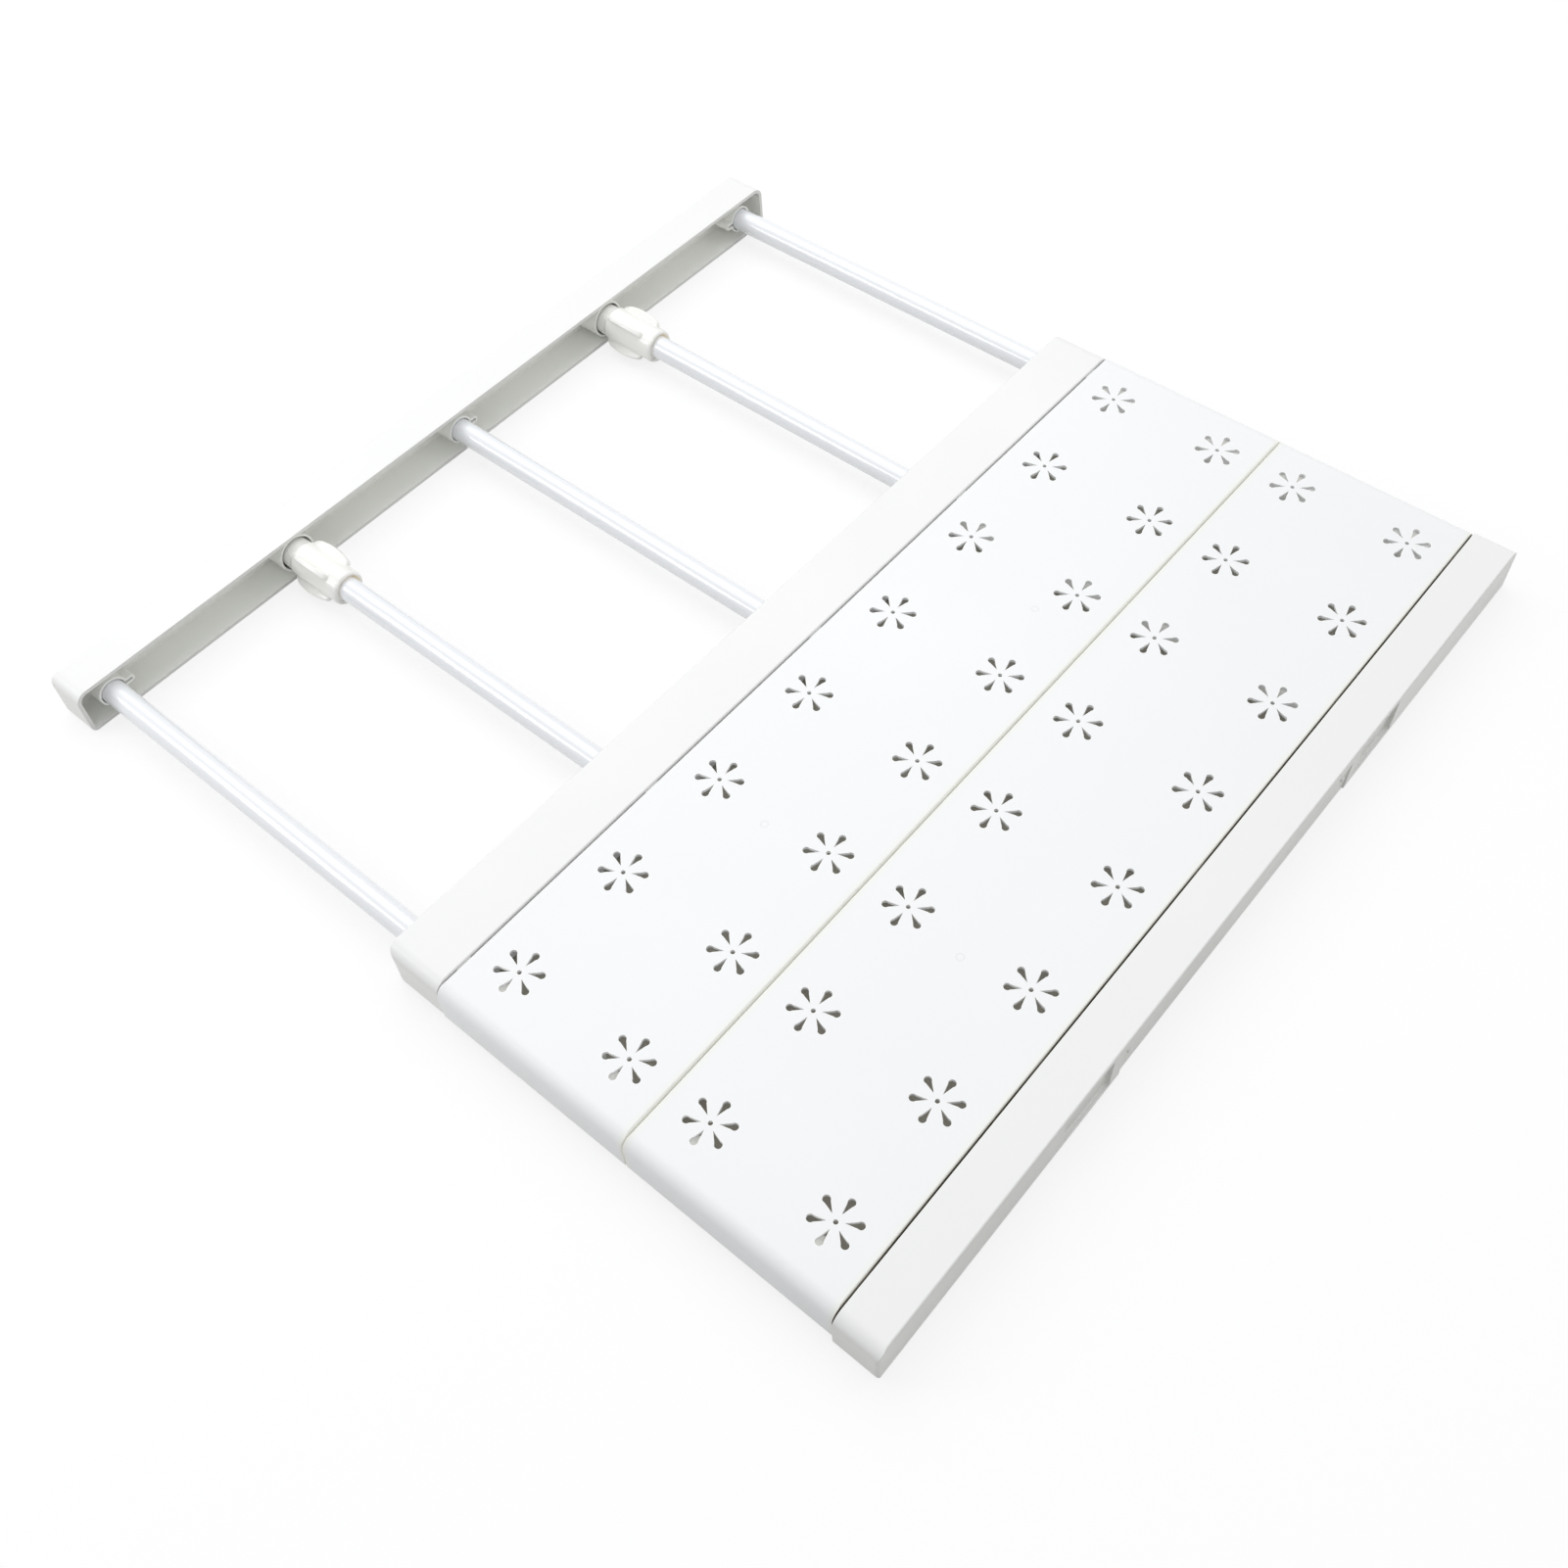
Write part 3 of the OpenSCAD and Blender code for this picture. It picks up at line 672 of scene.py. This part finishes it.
@dataclass
class TurningNut:
    """A turning nut: a neck in its cup, a flared barrel, four grip fins and a rounded collar.

    Args:
        side: The tube that it turns on.
        finishes: The finishes of the shelf.
        mouth_x: Place of the cup's mouth.
        foot_length: Length of the foot that centres the neck.
        foot_radius: Radius of the foot.
        neck_radius: Radius of the neck.
        barrel_radius: Radius of the barrel.
        bore_radius: Radius of the bore.
        mouth_radius: Radius of the bore's mouth in the collar.
        mouth_shift: How far the mouth lies to the far side and up.
        mouth_chamfer: Chamfer round the mouth.
        mouth_depth: Depths at which the mouth starts to turn into the bore, and has.
        flare: Where the neck starts and stops widening, from the cup's mouth.
        fin_start: Where the fins begin, from the cup's mouth.
        collar_length: Plain length behind the fins.
        fin_radius: Radius over the fins.
        fin_crest: Radius of the fins' long arc.
        fin_tip: Length over which a fin rises from its point at the cup's side.
        fin_heel: Radius of a fin's blunt end at the collar's side.
        fin_thickness: Thickness of a fin near its tip and near its heel.
        fin_ends: Shares of its thickness that a fin keeps at its point and heel.
        fin_widening: Length over which a fin gains its thickness from its point on.
        fin_count: How many fins stand round the nut.
        fin_phase: Angle of the first fin.
        fin_edge: Radius of a fin's two edges.
        fillet: Radius where a fin meets the barrel.
        edge_limits: Largest edge, as shares of a fin's height and of half its thickness.
        body_steps: Steps round the body between two fins.
        lip: Radius of the collar's round end.
        lip_length: Length of the round end.
        steps: Largest distances between rings along foot, neck, flare, fins and collar.
        collar_lead: Distance from the fins' end to the collar's first ring.
        hair: Distance between the two rings of the foot's sharp step.
    """

    side: Side
    finishes: Finishes
    mouth_x: float = -180.35 * MM
    foot_length: float = 2.5 * MM
    foot_radius: float = 7.34 * MM
    neck_radius: float = 6.5 * MM
    barrel_radius: float = 7.3 * MM
    bore_radius: float = 5.7 * MM
    mouth_radius: float = 5.45 * MM
    mouth_shift: Pair = MOUTH_SHIFT
    mouth_chamfer: float = 0.15 * MM
    mouth_depth: Pair = (1.4 * MM, 1.6 * MM)
    flare: Pair = (3.4 * MM, 5.6 * MM)
    fin_start: float = 5.0 * MM
    collar_length: float = 5.6 * MM
    fin_radius: float = 10.5 * MM
    fin_crest: float = 30 * MM
    fin_tip: float = 4.2 * MM
    fin_heel: float = 1.5 * MM
    fin_thickness: Pair = (1.9 * MM, 2.5 * MM)
    fin_ends: Pair = (0.25, 0.3)
    fin_widening: float = 3.36 * MM
    fin_count: int = 4
    fin_phase: float = math.radians(36)
    fin_edge: float = 0.45 * MM
    fillet: float = 0.5 * MM
    edge_limits: Pair = (0.45, 0.8)
    body_steps: int = 8
    lip: float = 0.9 * MM
    lip_length: float = 1.62 * MM
    steps: tuple[float, ...] = (1.2 * MM, 3 * MM, 0.4 * MM, 1.0 * MM, 0.9 * MM)
    collar_lead: float = 0.3 * MM
    hair: float = 1e-6
    low: Vector = field(init=False)
    high: Vector = field(init=False)

    def __post_init__(self) -> None:
        """Takes the place and the length from the CAD node."""
        self.low, self.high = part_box(self.node)

    @property
    def node(self) -> str:
        """Name of the CAD node."""
        return f"nut_{self.side.value}"

    @property
    def fins(self) -> Pair:
        """Places along x where the fins begin and end."""
        return self.mouth_x + self.fin_start, self.high.x - self.collar_length

    def body_radius(self, place: float) -> float:
        """Returns the radius without the fins.

        Args:
            place: Place along x.

        Returns:
            The radius of foot, neck, barrel or collar.
        """
        if place < self.low.x + self.foot_length:
            return self.foot_radius
        share = (place - self.mouth_x - self.flare[0]) / (self.flare[1] - self.flare[0])
        share = min(max(share, 0.0), 1.0)
        widening = self.barrel_radius - self.neck_radius
        radius = self.neck_radius + widening * share * share * (3 - 2 * share)
        return radius - self.lip * (1 - round_share((self.high.x - place) / self.lip_length))

    def fin_form(self, place: float) -> Pair:
        """Returns the half thickness and the crest of the fins at a place along x.

        Args:
            place: Place along x.

        Returns:
            Half the thickness, and the crest's radius, which is the body's where there is no fin.
        """
        first, last = self.fins
        body = self.body_radius(place)
        share = min(max((place - first) / (last - first), 0.0), 1.0)
        thin, thick = self.fin_thickness
        half = (thin + (thick - thin) * share) / 2
        tip = round_share((place - first) / self.fin_tip)
        heel = round_share((last - place) / self.fin_heel)
        crest = self.fin_radius - self.fin_crest
        crest += math.sqrt(self.fin_crest ** 2 - (place - (first + last) / 2) ** 2)
        rise = min(max((place - first) / self.fin_widening, 0.0), 1.0)
        point, blunt = self.fin_ends
        half = half * (point + (1 - point) * rise) * (blunt + (1 - blunt) * heel)
        return half, body + (crest - body) * tip * heel

    def section(self, place: float) -> Outline:
        """Returns the outline of the nut at a place along x.

        Args:
            place: Place along x.

        Returns:
            The points as (y, z) from the axis, the same number at every place.
        """
        body = self.body_radius(place)
        half, crest = self.fin_form(place)
        height = max(crest - body, 0.0)
        limit = self.edge_limits[0] * height
        edge, fillet = min(self.fin_edge, limit, self.edge_limits[1] * half), min(self.fillet, limit)
        angles = [math.radians(angle) for angle in (0, 30, 60, 90)]
        bend = [(math.sin(angle), 1 - math.cos(angle)) for angle in angles]
        flank = [(0.0, 0.0)] + [(half - edge + edge * a, edge * b) for a, b in bend]
        flank.append((half, 0.5 * height))
        flank += [(half + fillet * b, height - fillet + fillet * a) for a, b in bend]
        foot_angle = math.asin((half + fillet) / body)
        gap = 2 * math.pi / self.fin_count
        points = []
        for fin in range(self.fin_count):
            angle = self.fin_phase + fin * gap
            sides = [(-u, drop) for u, drop in reversed(flank[1:])] + flank
            for u, drop in sides:
                rise = math.sqrt(body * body - u * u) + height - drop
                points.append((rise * math.cos(angle) - u * math.sin(angle),
                               rise * math.sin(angle) + u * math.cos(angle)))
            for k in range(1, self.body_steps):
                around = angle + foot_angle + (gap - 2 * foot_angle) * k / self.body_steps
                points.append((body * math.cos(around), body * math.sin(around)))
        return points

    def places(self) -> list[float]:
        """Returns the places along x of the rings outside, close together where the form bends.

        Returns:
            The places, from the foot to the collar's end.
        """
        foot, neck, flare, fins, collar = self.steps
        first, last = self.fins
        foot_end, flare_start = self.low.x + self.foot_length, self.mouth_x + self.flare[0]
        places = spaced(self.low.x, foot_end, foot) + [foot_end - self.hair]
        places += spaced(foot_end, flare_start, neck) + spaced(flare_start, first, flare)
        angles = [math.radians(angle) for angle in range(0, 90, 10)]
        places += [first + self.fin_tip * (1 - math.cos(angle)) for angle in angles]
        places += spaced(first + self.fin_tip, last - self.fin_heel, fins)
        places += crowded_end(last, self.fin_heel)
        places += spaced(last + self.collar_lead, self.high.x - self.lip_length, collar)
        return places + crowded_end(self.high.x, self.lip_length)

    def bore(self, outside: Outline) -> list[Ring]:
        """Returns the rings of the bore, from its mouth in the collar back to the foot.

        Args:
            outside: The last ring's points outside, whose directions the bore's points take.

        Returns:
            The rings.
        """
        outline = [(y / math.hypot(y, z), z / math.hypot(y, z)) for y, z in outside]
        aside, centred = self.mouth_shift, (0.0, 0.0)
        forms = [(0.0, self.mouth_radius + self.mouth_chamfer, aside),
                 (self.mouth_chamfer, self.mouth_radius, aside),
                 (self.mouth_depth[0], self.mouth_radius, aside),
                 (self.mouth_depth[1], self.bore_radius, centred),
                 (self.high.x - self.low.x, self.bore_radius, centred)]
        return [(self.high.x - depth, [(shift_y + radius * y, shift_z + radius * z) for y, z in outline])
                for depth, radius, (shift_y, shift_z) in forms]

    def build(self) -> Object:
        """Builds the nut in place of its CAD node.

        Returns:
            The nut.
        """
        rings = [(place, self.section(place)) for place in self.places()]
        rings += self.bore(rings[-1][1])
        nut = new_object(f"turning_nut_{self.side.body_suffix}", lofted_skin(rings, self.side.axis),
                         self.finishes.nut)
        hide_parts(self.node)
        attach(nut, f"nut_{self.side.body_suffix}")
        return nut


@dataclass
class ThreadedPlug:
    """The plug with a coarse thread that a nut drives, in the left end of a screw tube.

    Args:
        side: The tube that it stands in.
        finishes: The finishes of the shelf.
        thread_length: Length of the thread.
        crest_radius: Radius over the thread.
        root_radius: Radius between its turns.
        spigot_radius: Radius of the part in the tube.
        pitch: Travel of one turn.
        columns: Columns round the axis.
        step: Largest distance between rings along the thread.
        lead_in: Length over which the thread rises and fades at its ends.
        shoulder: Length of the step from the thread down to the spigot.
        chamfer: Chamfer of the spigot's end.
        core_radius: Radius of the fine hole along the axis.
    """

    side: Side
    finishes: Finishes
    thread_length: float = 14 * MM
    crest_radius: float = 5.62 * MM
    root_radius: float = 4.95 * MM
    spigot_radius: float = 4.15 * MM
    pitch: float = 4 * MM
    columns: int = 48
    step: float = 0.4 * MM
    lead_in: float = 1.5 * MM
    shoulder: float = 0.05 * MM
    chamfer: float = 0.5 * MM
    core_radius: float = 0.3 * MM

    def build(self) -> Object:
        """Builds the plug in place of its CAD node.

        Returns:
            The plug.
        """
        node = f"threaded_plug_{self.side.value}"
        low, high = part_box(node)
        turns = [2 * math.pi * k / self.columns for k in range(self.columns)]
        core, spigot, tip = (ring_of([radius] * self.columns) for radius in
                             (self.core_radius, self.spigot_radius, self.spigot_radius - self.chamfer))
        end = low.x + self.thread_length
        rings = [(low.x, core)]
        for place in spaced(low.x, end, self.step) + [end]:
            ease = max(0.0, min(1.0, (place - low.x) / self.lead_in, (end - place) / self.lead_in))
            rings.append((place, ring_of([self._thread(place - low.x, angle, ease) for angle in turns])))
        rings += [(end + self.shoulder, spigot), (high.x - self.chamfer, spigot)]
        rings += [(high.x, tip), (high.x, core)]
        plug = new_object(f"screw_plug_{self.side.body_suffix}", lofted_skin(rings, self.side.axis),
                          self.finishes.fitting)
        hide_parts(node)
        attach(plug, f"screw_{self.side.body_suffix}")
        return plug

    def _thread(self, place: float, angle: float, ease: float) -> float:
        """Returns the radius of the thread.

        Args:
            place: Distance from the plug's end.
            angle: Angle round the axis.
            ease: Share of the thread's height, which fades at both ends.

        Returns:
            The radius.
        """
        phase = (place / self.pitch - angle / (2 * math.pi)) % 1.0
        # The root, the crest and the two flanks each take a quarter of a turn.
        wave = min(max(1.5 - 4 * abs(phase - 0.5), 0.0), 1.0)
        return self.root_radius + (self.crest_radius - self.root_radius) * wave * ease


@dataclass(frozen=True)
class Softbox:
    """A square lamp that looks at a point.

    Args:
        name: Name of the lamp.
        place: Where it stands.
        target: Point that it looks at.
        size: Side of the box.
        power: Power in watts.
        color: Colour of its light.
    """

    name: str
    place: Place
    target: Place
    size: float
    power: float
    color: Color = (1.0, 1.0, 1.0)

    def build(self) -> Object:
        """Adds the lamp to the scene.

        Returns:
            The lamp.
        """
        data = bpy.data.lights.new(self.name, "AREA")
        data.size = self.size
        data.energy = self.power
        data.color = self.color
        lamp = bpy.data.objects.new(self.name, data)
        lamp.location = self.place
        sight = Vector(self.target) - Vector(self.place)
        lamp.rotation_euler = sight.to_track_quat("-Z", "Y").to_euler()
        bpy.context.scene.collection.objects.link(lamp)
        return lamp


@dataclass
class Studio:
    """The pale floor, the soft light and the camera of the photograph.

    Args:
        floor_half: Half the side of the floor.
        floor_drop: How far the floor lies below the rails, so that no faces coincide.
        floor_color: Colour of the floor, as the camera sees it.
        bounce_color: Colour by which the floor lights the shelf's left end.
        bounce_color_right: Colour by which it lights the right end.
        bounce_reach: Places along x where the one starts to turn into the other, and has.
        shade_color: Colour of the painted shade on the floor under the deck, seen through its holes.
        shade_glow: Strength of the painted glow that sets the least brightness of the floor under the
            deck.
        shade_fade: Width over which the floor turns to the one under the deck.
        white_share: Share of plain white that the camera sees in the floor round the shelf.
        white_from: Distances from the middle where the floor starts to turn white, and has.
        deck_middle_x: Middle of the deck.
        deck_half: Half the width and half the length of the floor under the deck.
        softboxes: The lamps round the shelf.
        board_light: Power of the light that each board lets through, in watts.
        board_lamp: Width, length and height of the lamp under each board.
        world_color: Colour of the light from the surroundings.
        world_strength: Strength of that light.
        camera_place: Place of the camera.
        camera_turn: Tilt, roll and heading of the camera, in degrees.
        lens: Focal length, in millimetres.
        sensor: Width of the camera's sensor, in millimetres.
        clip_start: Least distance that the camera shows.
    """

    floor_half: float = 40.0
    floor_drop: float = 0.2 * MM
    floor_color: Color = (1.0, 1.0, 1.0)
    bounce_color: Color = (0.66, 0.66, 0.645)
    bounce_color_right: Color = (0.36, 0.36, 0.355)
    bounce_reach: Pair = (-0.10, 0.26)
    shade_color: Color = (0.47, 0.45, 0.385)
    shade_glow: float = 0.03
    shade_fade: float = 2 * MM
    white_share: float = 0.78
    white_from: Pair = (0.55, 1.6)
    deck_middle_x: float = 92.9 * MM
    deck_half: Pair = (101.0 * MM, 190.0 * MM)
    softboxes: tuple[Softbox, ...] = (
        Softbox("overhead_softbox", (-0.48, 0.30, 1.06), (-0.05, 0.0, 0.0), 1.2, 6.75),
        Softbox("near_left_key", (-0.61, -0.64, 0.51), (-0.09, -0.09, 0.0), 0.36, 1.6),
        Softbox("warm_side_bounce", (0.95, 0.25, 0.40), (0.1, 0.0, 0.0), 0.6, 0.4, (1.0, 0.88, 0.70)),
        Softbox("far_right_fill", (0.55, 0.75, 0.90), (0.10, 0.05, 0.0), 0.5, 0.9),
    )
    board_light: float = 0.022
    board_lamp: tuple[float, float, float] = (77 * MM, 378 * MM, 18.45 * MM)
    world_color: Color = (0.97, 0.985, 1.0)
    world_strength: float = 0.62
    camera_place: Place = (0.27884, -0.30194, 0.48514)
    camera_turn: tuple[float, float, float] = (35.501, 2.4215, 40.151)
    lens: float = 37.997
    sensor: float = 36.0
    clip_start: float = 0.01

    def build(self) -> None:
        """Builds floor, lamps, world and camera."""
        self._floor()
        self._world()
        for softbox in self.softboxes:
            softbox.build()
        self._board_glow()
        self._camera()

    def _floor(self) -> None:
        """Builds the floor that the shelf lies on."""
        half = self.floor_half
        data = bpy.data.meshes.new("floor")
        low = -self.floor_drop
        corners = [(-half, -half, low), (half, -half, low), (half, half, low), (-half, half, low)]
        data.from_pydata(corners, [], [(0, 1, 2, 3)])
        floor = bpy.data.objects.new("floor", data)
        bpy.context.scene.collection.objects.link(floor)
        data.materials.append(self._floor_material())

    def _floor_material(self) -> Material:
        """Builds the floor's material, which the camera sees white, with painted shade under the deck,
        and which lights the shelf softly.

        Returns:
            The material, clear from below.
        """
        material = bpy.data.materials.new("pale_floor")
        material.use_nodes = True
        graph = NodeGraph(material.node_tree)
        material.node_tree.nodes.remove(material.node_tree.nodes["Principled BSDF"])
        under = self._under_deck(graph)
        # Painted shade under the deck: a darker floor colour, with a faint painted glow.
        color = graph.mix(under, (*self.floor_color, 1.0), (*self.shade_color, 1.0))
        seen = graph.feed(graph.add("ShaderNodeBsdfDiffuse"), {"Color": color})
        glow = graph.feed(graph.add("ShaderNodeEmission"), {"Color": color, "Strength": 1.0})
        share = graph.mix(under, self._white_share(graph), (self.shade_glow,) * 3 + (1.0,))
        view = graph.mix_shaders(share, seen, glow)
        right = graph.remap(graph.place()["X"], *self.bounce_reach)
        tone = graph.mix(right, (*self.bounce_color, 1.0), (*self.bounce_color_right, 1.0))
        bounce = graph.feed(graph.add("ShaderNodeBsdfDiffuse"), {"Color": tone})
        choice = graph.mix_shaders(self._seen(graph), bounce, view)
        below = graph.math("MULTIPLY", graph.add("ShaderNodeNewGeometry").outputs["Backfacing"],
                           graph.add("ShaderNodeLightPath").outputs["Is Camera Ray"])
        shown = graph.mix_shaders(below, choice, graph.add("ShaderNodeBsdfTransparent"))
        graph.link(shown.outputs[0], material.node_tree.nodes["Material Output"].inputs["Surface"])
        return material

    @staticmethod
    def _seen(graph: NodeGraph) -> NodeSocket:
        """Makes a socket that is 1 for what the camera sees, straight, in a reflection or through glass.

        Args:
            graph: The shader graph that needs it.

        Returns:
            The socket.
        """
        path = graph.add("ShaderNodeLightPath")
        direct = graph.math("MAXIMUM", path.outputs["Is Camera Ray"], path.outputs["Is Glossy Ray"])
        return graph.math("MAXIMUM", direct, path.outputs["Is Transmission Ray"])

    def _white_share(self, graph: NodeGraph) -> NodeSocket:
        """Returns the share of plain white in the open floor, which is full far from the shelf.

        Args:
            graph: The floor's shader graph.

        Returns:
            The share's socket.
        """
        away = graph.add("ShaderNodeVectorMath", operation="LENGTH")
        graph.link(graph.add("ShaderNodeTexCoord").outputs["Object"], away.inputs[0])
        return graph.remap(away.outputs["Value"], *self.white_from, self.white_share, 1.0)

    def _under_deck(self, graph: NodeGraph) -> NodeSocket:
        """Returns a mask of the floor under the deck.

        Args:
            graph: The floor's shader graph.

        Returns:
            A socket that is 1 under the deck and 0 elsewhere.
        """
        place = graph.place()
        across = graph.math("ABSOLUTE", graph.math("SUBTRACT", place["X"], self.deck_middle_x))
        along = graph.math("ABSOLUTE", place["Y"])
        inside = [graph.remap(offset, half, half - self.shade_fade)
                  for offset, half in zip((across, along), self.deck_half)]
        return graph.math("MULTIPLY", *inside)

    def _world(self) -> None:
        """Sets the pale surroundings: white to the camera and in reflections, softer as light."""
        world = bpy.data.worlds.new("studio")
        bpy.context.scene.world = world
        world.use_nodes = True
        graph = NodeGraph(world.node_tree)
        light = world.node_tree.nodes["Background"]
        graph.feed(light, {"Color": (*self.world_color, 1.0), "Strength": self.world_strength})
        backdrop = graph.feed(graph.add("ShaderNodeBackground"), {"Color": WHITE, "Strength": 1.0})
        choice = graph.mix_shaders(self._seen(graph), light, backdrop)
        graph.link(choice.outputs[0], world.node_tree.nodes["World Output"].inputs["Surface"])

    def _board_glow(self) -> None:
        """Adds the faint light that the thin boards let through to what lies under them."""
        width, length, height = self.board_lamp
        names = ("light_through_board_left", "light_through_board_right")
        for name, middle in zip(names, BOARD_MIDDLES):
            place, target = (middle, 0.0, height), (middle, 0.0, 0.0)
            lamp = Softbox(name, place, target, width, self.board_light).build()
            lamp.rotation_euler = (0.0, 0.0, 0.0)
            lamp.data.shape = "RECTANGLE"
            lamp.data.size_y = length
            lamp.visible_camera = False
            lamp.visible_glossy = False

    def _camera(self) -> None:
        """Places the camera as fitted to the photograph."""
        data = bpy.data.cameras.new("photo_camera")
        data.sensor_width = self.sensor
        data.lens = self.lens
        data.clip_start = self.clip_start
        camera = bpy.data.objects.new("photo_camera", data)
        camera.location = self.camera_place
        camera.rotation_euler = tuple(math.radians(angle) for angle in self.camera_turn)
        bpy.context.scene.collection.objects.link(camera)
        bpy.context.scene.camera = camera


def main() -> None:
    """Builds and dresses the whole shelf."""
    logging.basicConfig(level=logging.INFO, format="%(message)s")
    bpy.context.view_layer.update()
    bpy.context.scene.view_settings.view_transform = "Standard"
    finishes = Finishes(ShaderGroups())
    log.info("dressed %d CAD nodes", finishes.dress_nodes())
    for side in Side:
        for maker in (TurningNut, ThreadedPlug):
            piece = maker(side, finishes).build()
            log.info("built %s with %d faces", piece.name, len(piece.data.polygons))
    Studio().build()


if __name__ == "__main__":
    main()
